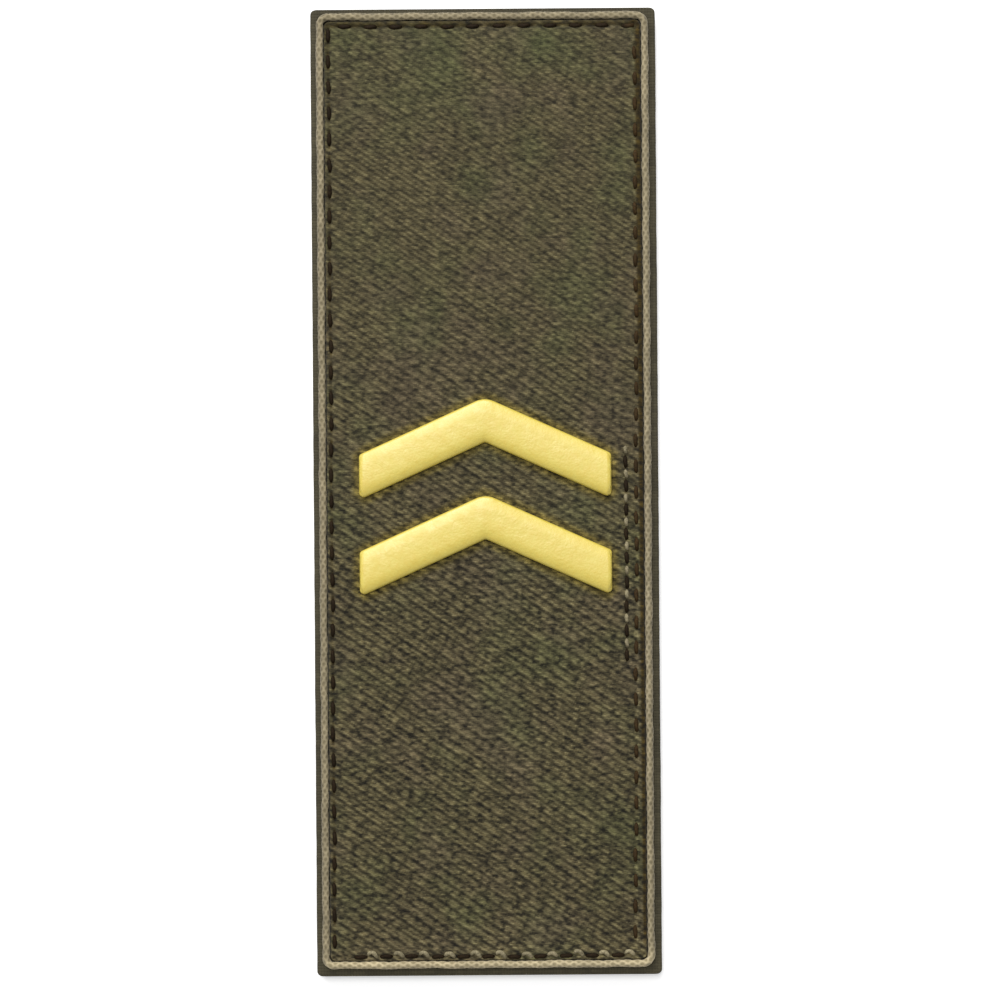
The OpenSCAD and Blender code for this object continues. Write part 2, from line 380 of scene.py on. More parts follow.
def tubes_along(paths, sides, radii, flat_normal):
    """Closed tubes along n paths of r points: a ring of equal angles about each path at each point.

    Each ring lies across the path's own direction, with one of its axes towards flat_normal, and each
    tube's two ends are closed by one face.
    """
    count, rings = paths.shape[:2]
    ahead = np.gradient(paths, axis=1)
    ahead /= np.linalg.norm(ahead, axis=2, keepdims=True)
    side = np.cross(ahead, flat_normal)
    side /= np.linalg.norm(side, axis=2, keepdims=True)
    up = np.cross(side, ahead)
    angle = np.arange(sides) * 2 * math.pi / sides
    ring = side[:, :, None] * np.cos(angle)[:, None] + up[:, :, None] * np.sin(angle)[:, None]
    points = paths[:, :, None] + ring * np.broadcast_to(radii, (count, rings, sides))[..., None]
    starts = np.arange(count)[:, None, None] * rings * sides
    walls = (grid_faces(rings, sides, close_columns=True)[None] + starts).reshape(-1, 4)
    first = starts[:, :, 0] + np.arange(sides)[None, ::-1]
    last = starts[:, :, 0] + (rings - 1) * sides + np.arange(sides)[None]
    return points.reshape(-1, 3), [walls, first, last]


class Seam:
    """Where the stitches are: runs with a start, a direction, an inward side and a number of stitches."""

    def __init__(self, settings):
        self.settings = settings
        half = CLOTH_HALF[:2] - settings.inset
        middle = CLOTH_MIDDLE[:2]
        corners = [middle + half * sign for sign in ((1, -1), (1, 1), (-1, 1), (-1, -1))]
        self.runs = []
        for start, end, shift in zip(corners, corners[1:] + corners[:1], RUN_SHIFTS):
            reach = np.linalg.norm(end - start)
            pitch = reach / round(reach / settings.pitch)
            stitches = int((reach - shift) / pitch + 1 - settings.dash)
            self.runs.append((start, (end - start) / reach, reach, shift, pitch, stitches))
        overlap = np.array([corners[0][0] - settings.overlap_inset, settings.overlap_start])
        pitch, stitches = settings.overlap_pitch, settings.overlap_stitches
        reach = pitch * (stitches - 1 + settings.dash)
        self.runs.append((overlap, np.array([0.0, 1.0]), reach, 0.0, pitch, stitches))

    def drift(self, along, run):
        """How far a run strays inwards: a fixed way, a bend towards its start and two slow sine waves."""
        lean = RUN_LEANS[run] * (1 - along / self.runs[run][2]) ** 2
        long_wave = 0.05 * MM * np.sin(along / (5.1 * MM) + 2 * run)
        short_wave = 0.03 * MM * np.sin(along / (1.9 * MM) + run)
        return RUN_STRAYS[run] + lean + long_wave + short_wave

    def pull(self, x, y):
        """Depth of the valley as a share, and the ripples beside it, at the points x, y.

        Across a run the valley is a squared cosine. Along it a cosine goes from a stitch, where it is
        deep, to the hump between two, and a narrow pit is added at each needle hole.
        """
        s = self.settings
        depth = np.zeros(x.shape)
        ripple = np.zeros(x.shape)
        for run, (start, ahead, reach, shift, pitch, _) in enumerate(self.runs):
            along = (x - start[0]) * ahead[0] + (y - start[1]) * ahead[1]
            across = -(x - start[0]) * ahead[1] + (y - start[1]) * ahead[0] - self.drift(along, run)
            beyond = np.maximum(0, np.maximum(-along, along - reach))
            away = np.hypot(across, beyond)
            part = np.mod((along - shift) / pitch, 1.0)
            wave = np.cos(2 * math.pi * (part - s.dash / 2))
            to_hole = np.minimum(np.abs(part - s.dash), np.minimum(part, 1 - part)) * pitch
            pit = np.exp(-((to_hole / HOLE_ALONG) ** 2)) * np.exp(-((across / HOLE_ACROSS) ** 2))
            valley = np.cos(math.pi / 2 * np.clip(away / s.valley, 0, 1)) ** 2
            deep = s.hump + (1 - s.hump) * (0.5 + 0.5 * wave) + HOLE_DEPTH * pit
            depth = np.maximum(depth, valley * deep)
            inwards = np.exp(-np.maximum(0, np.abs(across) - s.valley) / RIPPLE_REACH)
            fading = inwards * np.exp(-beyond / RIPPLE_END)
            ripple = ripple + (across > 0) * (away > s.valley) * fading * wave
        return depth, ripple

    def stitches(self, first, last, seed, runs=range(5), bow=0.0, slant=0.0):
        """Paths of the dashes of thread from one share of each stitch to another, with heights from 0 to 1.

        A dash runs from hole to hole with its height one less the fourth power of the way from its middle.
        It bows inwards by one less the square of that way, and slants outwards along the run. Each one
        slips a little along the run, twists and lies a little to the side.
        """
        in_hole, slip, twist_mean, twist_spread, aside = np.array([0.12, 0.05, 0.05, 0.03, 0.02]) * MM
        draw = np.random.default_rng(seed)
        way = np.linspace(-1, 1, 13)
        paths = []
        for run in runs:
            start, ahead, _, shift, pitch, stitches = self.runs[run]
            reach = pitch * (last - first) / 2
            middle = shift + (np.arange(stitches) + (first + last) / 2)[:, None] * pitch
            along = middle + way * (reach - in_hole) + draw.normal(0, slip, (stitches, 1))
            twist = draw.normal(twist_mean, twist_spread, (stitches, 1)) * way
            across = self.drift(along, run) + twist + draw.normal(0, aside, (stitches, 1))
            lean = bow * (1 - way**2) - slant * way
            across = across + lean * draw.uniform(0.6, 1.2, (stitches, 1))
            rise = 1 - way**4 + draw.normal(0, 0.03, (stitches, 1))
            inward = np.array([-ahead[1], ahead[0]])
            flat = start + along[..., None] * ahead + across[..., None] * inward
            paths.append(np.concatenate([flat, rise[..., None]], axis=2))
        return np.concatenate(paths)


class ChevronShape:
    """One chevron's outline and face, worked out from its solid's box and the settings."""

    def __init__(self, node, settings):
        low, high = (np.array(corner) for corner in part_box(node))
        self.s = settings
        self.middle = (low[0] + high[0]) / 2
        self.half_width = (high[0] - low[0]) / 2
        self.floor = low[2]
        self.thickness = high[2] - low[2]
        self.slope = settings.arm_fall / self.half_width
        self.stretch = math.hypot(1, self.slope)
        self.point = high[1] + settings.point_radius * (self.stretch - 1)

    def round_in_middle(self, x, sharp, radius):
        """A line that falls from a sharp point on both sides, with the point rounded by a circle."""
        line = sharp - self.slope * np.abs(x)
        circle = sharp - radius * self.stretch + np.sqrt(np.clip(radius * radius - x * x, 0, None))
        return np.where(np.abs(x) < radius * self.slope / self.stretch, circle, line)

    def edges(self, x):
        """Lower and upper edge at x from the middle, with the point, crotch and end corners rounded."""
        s = self.s
        upper = self.round_in_middle(x, self.point, s.point_radius)
        lower = self.round_in_middle(x, self.point - s.arm_height, s.crotch_radius)
        middle_x = self.half_width - s.end_radius
        out = np.abs(x) - middle_x
        sine = s.end_radius * self.slope / self.stretch
        circle = np.sqrt(np.clip(s.end_radius**2 - out * out, 0, None))
        sharp_upper = self.point - self.slope * middle_x
        upper_middle = sharp_upper - s.end_radius * self.stretch
        lower_middle = sharp_upper - s.arm_height + s.end_radius * self.stretch
        upper = np.where(out > sine, upper_middle + circle, upper)
        lower = np.where(out > -sine, lower_middle - circle, lower)
        return lower, upper

    def away(self, x, y):
        """Distance outside the outline, or how far inside it as a negative number."""
        x = x - self.middle
        lower, upper = self.edges(np.clip(x, -self.half_width, self.half_width))
        aside = np.maximum(lower - y, y - upper) / self.stretch
        beyond = np.abs(x) - self.half_width
        outside = np.hypot(np.maximum(aside, 0), np.maximum(beyond, 0))
        return outside + np.minimum(np.maximum(aside, beyond), 0)

    def stations(self):
        """Places of the sections along X: close together at the ends and at the point."""
        fine_step, arm_start, point_end = 0.1 * MM, 1.8 * MM, 1.6 * MM
        roll = roll_steps(self.s.edge_radius, 7)
        beside_roll = np.arange(0.55, 1.3, 0.15) * MM
        ends = self.half_width - np.concatenate([roll, beside_roll])
        arm = np.arange(arm_start, ends[-1] - fine_step, self.s.step)[::-1]
        point = np.linspace(point_end, fine_step, 11)
        half = np.concatenate([ends, arm, point])
        return np.concatenate([-half, [0], half[::-1]])

    def surface(self):
        """Closed sections across the chevron, carried along X.

        The face is a shallow dome, one less the square of the way from the arm's middle line, with slow
        waves. Beside every edge it falls along a quarter ellipse, the shoulder, and then along a small
        quarter round. Straight walls and a flat floor close each section.
        """
        s = self.s
        x = self.stations()[:, None]
        lower, upper = self.edges(x)
        way = (1 - np.cos(np.linspace(0, math.pi, 37))) / 2
        y = lower + (upper - lower) * way
        inside = np.minimum(y - lower, upper - y) / self.stretch
        from_end = self.half_width - np.abs(x)

        def quarter(width, end_width):
            """Fall of a quarter ellipse, as a share, that starts at these widths from the edges."""
            side = np.clip(1 - inside / width, 0, 1)
            end = np.clip(1 - from_end / end_width, 0, 1)
            return 1 - np.sqrt(np.clip(1 - side**2 - end**2, 0, None))

        fall = s.edge_radius * quarter(s.edge_radius, s.edge_radius)
        fall = fall + s.shoulder_drop * quarter(s.shoulder, s.end_shoulder)
        dome = s.dome * ((2 * way - 1) ** 2)
        waver = 0.012 * MM * soft_waves(4 * x, 4 * y, SEED + 5)
        face = self.floor + self.thickness - fall - dome + waver
        wall = np.full(x.shape, self.floor)
        section_y = np.concatenate([lower, y, upper], axis=1)
        section_z = np.concatenate([wall, face, wall], axis=1)
        return closed_sections(np.broadcast_to(self.middle + x, section_y.shape), section_y, section_z)


def cloth_lines(half, settings, step):
    """Places of the cloth's mesh lines from -half to half: arc steps over the roll, then fine, then wide."""
    roll = roll_steps(settings.edge_radius, 6)
    fine = np.arange(settings.edge_radius, settings.fine_reach, settings.fine_step)[1:]
    border = np.concatenate([roll, fine])
    inner = half - border[-1]
    wide = np.linspace(-inner, inner, round(2 * inner / step) + 1)
    return np.concatenate([border[:-1] - half, wide, half - border[-2::-1]])


def round_the_corners(x, y, half, radius):
    """Moves the square corner of a grid onto a quarter circle, and returns the distance in from the edge.

    With p and q the ways from the corner circle's middle, p becomes p times the root of one less half of
    q squared, and the other way round.
    """
    core = half - radius
    p = np.clip((np.abs(x) - core[0]) / radius, 0, 1)
    q = np.clip((np.abs(y) - core[1]) / radius, 0, 1)
    corner = (p > 0) & (q > 0)
    new_p = p * np.sqrt(1 - q * q / 2)
    new_q = q * np.sqrt(1 - p * p / 2)
    new_x = np.where(corner, np.sign(x) * (core[0] + radius * new_p), x)
    new_y = np.where(corner, np.sign(y) * (core[1] + radius * new_q), y)
    straight = np.minimum(half[0] - np.abs(x), half[1] - np.abs(y))
    return new_x, new_y, np.where(corner, radius * (1 - np.hypot(new_p, new_q)), straight)


def closed_below(face, rows, columns):
    """Points and faces of a solid under a grid of points: a wall under its rim and a flat floor.

    The wall goes straight down for three quarters of the way and then draws in a little to the floor,
    which is a fan of triangles round its middle.
    """
    straight_share, draw_in = 0.75, 0.1 * MM
    rim = rim_of_grid(rows, columns)
    wall = face[rim].copy()
    wall[:, 2] = CLOTH_LOW[2] + (1 - straight_share) * (wall[:, 2] - CLOTH_LOW[2])
    foot = face[rim].copy()
    foot[:, :2] = CLOTH_MIDDLE[:2] + (foot[:, :2] - CLOTH_MIDDLE[:2]) * (1 - draw_in / CLOTH_HALF[:2])
    foot[:, 2] = CLOTH_LOW[2]
    middle = np.array([[CLOTH_MIDDLE[0], CLOTH_MIDDLE[1], CLOTH_LOW[2]]])
    points = np.concatenate([face, wall, foot, middle])
    here = np.arange(len(rim))
    after = np.roll(here, -1)
    first_wall = len(face)
    first_foot = first_wall + len(rim)
    upper = np.stack([rim, first_wall + here, first_wall + after, rim[after]], -1)
    lower = np.stack([first_wall + here, first_foot + here, first_foot + after, first_wall + after], -1)
    floor = np.stack([first_foot + after, first_foot + here, np.full(len(rim), len(points) - 1)], -1)
    return points, [grid_faces(rows, columns), upper, lower, floor]


def cloth_surface(cloth, seam, chevrons):
    """The face as a height over a grid, closed below, and the marks that its material reads.

    The height is the cloth's top, less the quarter-round roll by the edge, less the seam's valley, plus
    the twill's wales as a cosine across the diagonal, plus slow waves, less the print of the chevrons.
    The marks are the strip of painted brown shade along the edge, which is narrower on the right, most so at
    the lower end, the depth of the seam's valley and the painted golden glow that lightens the chevrons'
    shadow.
    """
    half = CLOTH_HALF[:2]
    lines_x = cloth_lines(half[0], cloth, cloth.step_across)
    lines_y = cloth_lines(half[1], cloth, cloth.step_along)
    grid_x, grid_y = np.meshgrid(lines_x, lines_y)
    x, y, inside = round_the_corners(grid_x, grid_y, half, cloth.corner_radius)
    x = x + CLOTH_MIDDLE[0]
    y = y + CLOTH_MIDDLE[1]
    depth, ripple = seam.pull(x, y)
    phase = (x / cloth.weft_pitch + y / cloth.warp_pitch) / (cloth.shafts * cloth.ribs)
    calm = smooth_step(*WALE_RISE, inside) * (1 - WALE_PRESSED * np.clip(depth, 0, 1))
    wales = cloth.wale_height / 2 * np.cos(2 * math.pi * (phase - 0.25)) * calm
    waves = cloth.sway * soft_waves(y, x, SEED) * smooth_step(*WAVE_RISE, inside)
    away = np.minimum(*(chevron.away(x, y) for chevron in chevrons))
    print_depth = cloth.press_depth * (1 - smooth_step(0, PRINT_REACH, away))
    top = CLOTH_HIGH[2] - cloth.wale_height / 2
    z = top - roll_drop(inside, cloth.edge_radius) + wales + waves - print_depth
    z = z - seam.settings.depth * depth + seam.settings.pucker * ripple
    points, faces = closed_below(np.stack([x, y, z], -1).reshape(-1, 3), *x.shape)

    def with_wall(values, below):
        """The values of the face's points, and one value for all the points below them."""
        return np.concatenate([values.ravel(), np.full(len(points) - values.size, below)])

    # Strip of painted brown shade along the edge: narrower on the right, most so at the lower end
    narrower = STRIP_NARROWER - STRIP_NARROWER_END * (y - CLOTH_MIDDLE[1]) / half[1]
    brown = cloth.edge_shade_width * (1 - narrower * smooth_step(*BESIDE_RIGHT_RUN, x))
    strip = 1 - smooth_step(STRIP_FADE[0] * brown, STRIP_FADE[1] * brown, inside)
    # Share of the painted golden glow round the chevrons
    halo = 1 - smooth_step(0, cloth.halo, away)
    marks = {
        "strip": with_wall(strip, 1.0),
        "pressed": with_wall(depth, 0.0),
        "halo": with_wall(halo, 0.0),
    }
    return points, faces, marks


def cord_surface(cord):
    """A braided round cord along a rounded rectangle.

    The heading turns a quarter round at each corner, and the middle line is the running sum of equal steps
    along it. The radius rises over the strands, which wind round both ways: it follows the larger of two
    cosines of the angle, one turning with the way along the cord and one against it. The cord strays and
    swells a little in sine waves, a whole number of them all the way round.
    """
    radius = CORD_DIAMETER / 2
    half = (CORD_HIGH - CORD_LOW)[:2] / 2 - radius
    straight = 2 * (half - cord.bend_radius)
    bend = math.pi / 2 * cord.bend_radius
    pieces = np.array([straight[1], bend, straight[0], bend] * 2)
    turns = np.array([0, math.pi / 2, 0, math.pi / 2] * 2)
    total = pieces.sum()
    stations = round(total / cord.step)
    step = total / stations
    way = (np.arange(stations) + 0.5) * step
    ends = np.concatenate([[0], np.cumsum(pieces)])
    headings = math.pi / 2 + np.concatenate([[0], np.cumsum(turns)])
    heading = np.interp(way, ends, headings)
    ahead = np.stack([np.cos(heading), np.sin(heading)], -1)
    line = np.cumsum(ahead * step, axis=0)
    line += (CORD_LOW + CORD_HIGH)[:2] / 2 - (line.min(0) + line.max(0)) / 2
    outward = np.stack([np.sin(heading), -np.cos(heading)], -1)
    turn = 2 * math.pi / total
    stray = 0.03 * MM * (np.sin(37 * turn * way + 1) + np.sin(83 * turn * way))
    angle = (np.arange(cord.sides) * 2 * math.pi / cord.sides)[None]
    laps = round(total / cord.lay)
    twist = (laps * turn * way)[:, None]
    rising = np.cos(cord.strands * (angle - twist))
    falling = np.cos(cord.strands * (angle + twist))
    bump = np.maximum(rising, falling)
    swell = 1 + 0.03 * np.sin(29 * turn * way + 2) + 0.02 * np.sin(61 * turn * way)
    ring = radius * swell[:, None] * (1 - cord.relief * (1 - bump))
    aside = stray[:, None] + ring * np.cos(angle)
    points = np.concatenate(
        [
            line[:, None] + outward[:, None] * aside[..., None],
            ((CORD_LOW + CORD_HIGH)[2] / 2 + ring * np.sin(angle))[..., None],
        ],
        axis=2,
    )
    faces = grid_faces(stations, cord.sides, close_rows=True, close_columns=True)
    flank = np.broadcast_to(np.cos(angle), bump.shape)
    return points.reshape(-1, 3), [faces[:, ::-1]], {"strand": bump, "flank": flank}


def web_surface(tape):
    """The web as sections across it, carried along it.

    A section is a flat oblong with quarter-round edges, and near each end it narrows as the corner's
    circle does. Slow waves move its edges a little.
    """
    half = TAPE_HIGH[:2]
    floor = TAPE_LOW[2] + tape.hook_height
    radius = tape.edge_radius
    near_end = roll_steps(tape.corner_radius, 6)
    inner = np.linspace(near_end[-1] - half[1], half[1] - near_end[-1], 201)
    y = np.concatenate([near_end[:-1] - half[1], inner, half[1] - near_end[-2::-1]])[:, None]
    narrow = roll_drop(half[1] - np.abs(y), tape.corner_radius)
    arc = np.linspace(0, math.pi / 2, 5)
    across = np.linspace(-1, 1, 61)[1:-1]
    right_x = np.concatenate([np.sin(arc), np.cos(arc)])
    flat = half[0] - radius
    right = flat + radius * right_x
    x = np.concatenate([across * flat, right, across[::-1] * flat, -right])
    roll = roll_steps(radius, len(arc))
    edge_z = np.concatenate([floor + roll, TAPE_HIGH[2] - roll[::-1]])
    low_z = np.full(len(across), floor)
    high_z = np.full(len(across), TAPE_HIGH[2])
    z = np.concatenate([low_z, edge_z, high_z, edge_z[::-1]])
    sway = 0.02 * MM * soft_waves(3 * y, np.sign(x) * 5 * MM, SEED + 2)
    section_x = x * (1 - narrow / half[0]) + sway * (np.abs(x) > flat)
    section_y, section_z = (np.broadcast_to(value, section_x.shape) for value in (y, z))
    return closed_sections(section_x, section_y, section_z)


def hook_surface(tape, seam):
    """Wire hooks in staggered rows: a straight stem, a half circle and a short tip, as tubes.

    The hooks of one row bend one way along the tape and those of the next row the other way. They stand
    a little off their places, turned, leaning and shortened a little, and none stands in the seam.
    """
    draw = np.random.default_rng(SEED + 3)
    margin, slip_across, slip_along, over_floor = np.array([0.3, 0.05, 0.06, 0.02]) * MM
    in_web, tip, past_row = 0.1 * MM, 0.16 * MM, 0.1 * MM
    free_depth = 0.05
    turning, leaning, stretching, shorter = 0.18, 0.05, 0.015, 0.03
    half = TAPE_HIGH[:2] - np.array([tape.selvage, tape.cut_end]) - margin
    columns = round(2 * half[0] / tape.hook_pitch_across) + 1
    rows = round(2 * half[1] / tape.hook_pitch_along) + 1
    row, column = np.meshgrid(np.arange(rows), np.arange(columns), indexing="ij")
    stagger = np.where(row % 2 == 0, 0.25, -0.25) * tape.hook_pitch_across
    x = np.linspace(-half[0], half[0], columns)[column] + stagger
    y = np.linspace(-half[1], half[1], rows)[row]
    x = (x + draw.normal(0, slip_across, x.shape)).ravel()
    y = (y + draw.normal(0, slip_along, y.shape)).ravel()
    facing = np.where(row % 2 == 0, 1.0, -1.0).ravel()
    depth, _ = seam.pull(x, y)
    kept = (depth < free_depth) & (np.abs(x) < half[0] + past_row)
    x, y, facing = x[kept], y[kept], facing[kept]
    wire = tape.hook_wire / 2
    bend = tape.hook_bend
    stem = tape.hook_height - bend - wire - over_floor
    arc = np.linspace(math.pi, 0.1 * math.pi, 5)
    reach = np.concatenate([[0], bend + bend * np.cos(arc), [1.95 * bend]])
    down = np.concatenate([[-in_web], stem + bend * np.sin(arc), [stem - tip]])
    turn = draw.normal(0, turning, len(x)) + math.pi / 2
    tall = 1 + draw.normal(0, stretching, len(x)) - shorter
    lean = draw.normal(0, leaning, len(x))
    out = facing[:, None] * (reach - bend) + lean[:, None] * down
    path_x = x[:, None] + out * np.cos(turn)[:, None]
    path_y = y[:, None] + out * np.sin(turn)[:, None]
    path_z = TAPE_LOW[2] + tape.hook_height - down * tall[:, None]
    paths = np.stack([path_x, path_y, path_z], -1)
    across = np.stack([-np.sin(turn), np.cos(turn), np.zeros(len(turn))], -1)[:, None]
    thin = np.array([1, 1, 1, 1, 1, 0.9, 0.6])[None, :, None] * wire
    return tubes_along(paths, 4, thin, across)


def thread_surface(paths, radius, sunk, crest):
    """Two-ply thread along the dashes: the radius rises twice round it, and the two rises wind along it.

    A dash goes from the height sunk at its ends to the height crest in its middle.
    """
    paths = paths.copy()
    paths[..., 2] = sunk + (crest - sunk) * paths[..., 2]
    rings = paths.shape[1]
    sides, ply_rise, end_taper = 10, 0.1, 0.6
    angle = (np.arange(sides) * 2 * math.pi / sides)[None]
    ply = np.cos(2 * angle - np.linspace(0, 3 * math.pi, rings)[:, None])
    taper = np.ones(rings)
    taper[[0, -1]] = end_taper
    radii = radius * (1 + ply_rise * ply) * taper[:, None]
    return tubes_along(paths, sides, radii[None], np.array([0.0, 0.0, 1.0]))


class Wiring:
    """Adds nodes to a node tree and joins them."""

    def __init__(self, tree):
        self.tree = tree
        self.count = 0

    def node(self, kind, values=None, **attributes):
        """A node of a kind, with its inputs set or joined, by name or number, and its attributes set."""
        made = self.tree.nodes.new(kind)
        made.location = (220 * (self.count % 8), -260 * (self.count // 8))
        self.count += 1
        for name, value in attributes.items():
            setattr(made, name, value)
        for name, value in (values or {}).items():
            self.feed(made.inputs[name], value)
        return made

    def feed(self, socket, value):
        """Joins an output to a socket, or sets the socket's own value."""
        if isinstance(value, bpy.types.NodeSocket):
            self.tree.links.new(value, socket)
        elif socket.type == "RGBA":
            socket.default_value = (*value, 1.0)
        else:
            socket.default_value = value

    def math(self, operation, a, b=None, clamp=False):
        """Output of one Math node."""
        values = {0: a} if b is None else {0: a, 1: b}
        return self.node("ShaderNodeMath", values, operation=operation, use_clamp=clamp).outputs[0]

    def times(self, first, *others):
        """Product of the values."""
        for other in others:
            first = self.math("MULTIPLY", first, other)
        return first

    def mark(self, name):
        """One of the numbers that are stored for the points of the piece."""
        return self.node("ShaderNodeAttribute", attribute_name=name).outputs["Fac"]

    def axes(self, place):
        """The three coordinates of a place."""
        return self.node("ShaderNodeSeparateXYZ", {0: place}).outputs

    def shared_group(self, name, build, values):
        """Outputs of a shared group with its own values. The group is built when it is first asked for."""
        tree = bpy.data.node_groups.get(name) or build()
        return self.node("ShaderNodeGroup", values, node_tree=tree).outputs

    def mix(self, share, a, b, blend_type="MIX"):
        """Colour between a and b."""
        made = self.node("ShaderNodeMix", data_type="RGBA", blend_type=blend_type)
        self.feed(made.inputs[0], share)
        self.feed(made.inputs[6], a)
        self.feed(made.inputs[7], b)
        return made.outputs[2]

    def range(self, value, from_low, from_high, to_low, to_high):
        """The value carried over from one range to another, and held inside it."""
        made = self.node("ShaderNodeMapRange")
        for name, number in zip(made.inputs.keys()[:5], (value, from_low, from_high, to_low, to_high)):
            self.feed(made.inputs[name], number)
        return made.outputs[0]


def new_group(name, inputs, outputs):
    """An empty shader node group with named inputs (type and default) and outputs (type)."""
    tree = bpy.data.node_groups.new(name, "ShaderNodeTree")
    for label, (kind, default) in inputs.items():
        socket = tree.interface.new_socket(label, in_out="INPUT", socket_type=kind)
        if default is not None:
            socket.default_value = default
    for label, kind in outputs.items():
        tree.interface.new_socket(label, in_out="OUTPUT", socket_type=kind)
    wiring = Wiring(tree)
    return tree, wiring, wiring.node("NodeGroupInput").outputs, wiring.node("NodeGroupOutput").inputs


def woven_group():
    """Group that gives the relief of a cloth woven in steps, from the place on it.

    Each warp yarn is a row. Along it a cosine with the repeat's length lifts it over half of the wefts
    and takes it under the rest, and each row is one weft further on. The wefts do the opposite, and the
    higher of the two shows. Both have a round back. A wale is a few of the ribs that this makes: a cosine
    across the diagonal, from -1 in the groove between two wales to 1 on their crests.
    """
    number, vector = "NodeSocketFloat", "NodeSocketVector"
    tree, w, given, result = new_group(
        "woven_relief",
        {
            "Place": (vector, None),
            "Warp pitch": (number, 0.4 * MM),
            "Weft pitch": (number, 0.6 * MM),
            "Repeat": (number, 4.0),
            "Ribs": (number, 2.0),
        },
        {"Height": number, "Warp": number, "Float tone": number, "Wale": number},
    )
    place = w.axes(given["Place"])
    column = w.math("DIVIDE", place[0], given["Weft pitch"])
    row = w.math("DIVIDE", w.times(place[1], -1.0), given["Warp pitch"])
    row_number = w.math("FLOOR", row)
    column_number = w.math("FLOOR", column)

    def round_back(within):
        """Root of one less the square of the way from the yarn's middle."""
        way = w.math("SUBTRACT", w.times(within, 2.0), 1.0)
        return w.math("SQRT", w.math("SUBTRACT", 1.0, w.times(way, way)), clamp=True)

    def wave(way, repeat):
        """Cosine of the way along a repeat, which begins a quarter before its crest."""
        turn = w.math("SUBTRACT", w.math("DIVIDE", way, repeat), 0.25)
        return w.math("COSINE", w.times(turn, 2 * math.pi))

    def yarn_height(way, rise, across, back):
        """Height of a yarn: its rise along the repeat and its round back."""
        lifted = w.times(wave(way, given["Repeat"]), rise)
        return w.math("ADD", lifted, w.times(round_back(w.math("FRACT", across)), back))

    warp_way = w.math("SUBTRACT", column, row_number)
    warp_height = yarn_height(warp_way, 0.3, row, 0.5)
    weft_way = w.math("SUBTRACT", w.math("ADD", column_number, 1.0), row)
    weft_height = yarn_height(weft_way, -0.3, column, 0.4)
    height = w.node("ShaderNodeMath", {0: warp_height, 1: weft_height, 2: 0.12}, operation="SMOOTH_MAX")
    w.feed(result["Height"], height.outputs[0])
    ahead = w.times(w.math("SUBTRACT", warp_height, weft_height), 3.0)
    w.feed(result["Warp"], w.math("ADD", ahead, 0.5, clamp=True))
    float_number = w.math("FLOOR", w.math("DIVIDE", warp_way, given["Repeat"]))
    cell = w.node("ShaderNodeCombineXYZ", {0: float_number, 1: row_number})
    noise = w.node("ShaderNodeTexWhiteNoise", {0: cell.outputs[0]}, noise_dimensions="2D")
    w.feed(result["Float tone"], noise.outputs[0])
    wale_length = w.times(given["Repeat"], given["Ribs"])
    w.feed(result["Wale"], wave(w.math("SUBTRACT", column, row), wale_length))
    return tree


def mottle_group():
    """Group that gives soft patches from low to high: a noise whose middle stretch is carried over."""
    number, vector = "NodeSocketFloat", "NodeSocketVector"
    tree, w, given, result = new_group(
        "soft_mottle",
        {"Place": (vector, None), "Size": (number, 5 * MM), "Low": (number, 0.0), "High": (number, 1.0)},
        {"Value": number},
    )
    scale = w.math("DIVIDE", 1.0, given["Size"])
    noise = w.node("ShaderNodeTexNoise", {"Vector": given["Place"], "Scale": scale, "Detail": 3.0})
    w.feed(result["Value"], w.range(noise.outputs[0], 0.32, 0.68, given["Low"], given["High"]))
    return tree


def new_material(name):
    """A material with its Principled shader, its wiring and its object coordinates."""
    material = bpy.data.materials.new(name)
    material.use_nodes = True
    wiring = Wiring(material.node_tree)
    shader = material.node_tree.nodes["Principled BSDF"]
    place = wiring.node("ShaderNodeTexCoord").outputs["Object"]
    return material, wiring, shader, place


def mottled(w, place, size, low, high):
    """Output of the soft mottle group at one size."""
    values = {"Place": place, "Size": size, "Low": low, "High": high}
    return w.shared_group("soft_mottle", mottle_group, values)["Value"]


def woven(w, place, warp_pitch, weft_pitch, repeat, ribs=2.0):
    """Outputs of the woven relief group with its own pitches."""
    values = {"Place": place, "Warp pitch": warp_pitch, "Weft pitch": weft_pitch, "Repeat": repeat}
    return w.shared_group("woven_relief", woven_group, {**values, "Ribs": ribs})


def tinted(w, shader, base, tone):
    """Feeds a colour times a tone to the shader."""
    tones = w.node("ShaderNodeCombineColor", {0: tone, 1: tone, 2: tone}).outputs[0]
    w.feed(shader.inputs["Base Color"], w.mix(1.0, base, tones, "MULTIPLY"))


def set_uniform(shader, values):
    """Sets the shader's values that are the same all over the surface."""
    for name, value in values.items():
        shader.inputs[name].default_value = value


def bumped(w, shader, height, distance):
    """Feeds a height in shares of distance to the shader's normal."""
    made = w.node("ShaderNodeBump", {"Height": height, "Strength": 1.0, "Distance": distance})
    w.feed(shader.inputs["Normal"], made.outputs["Normal"])


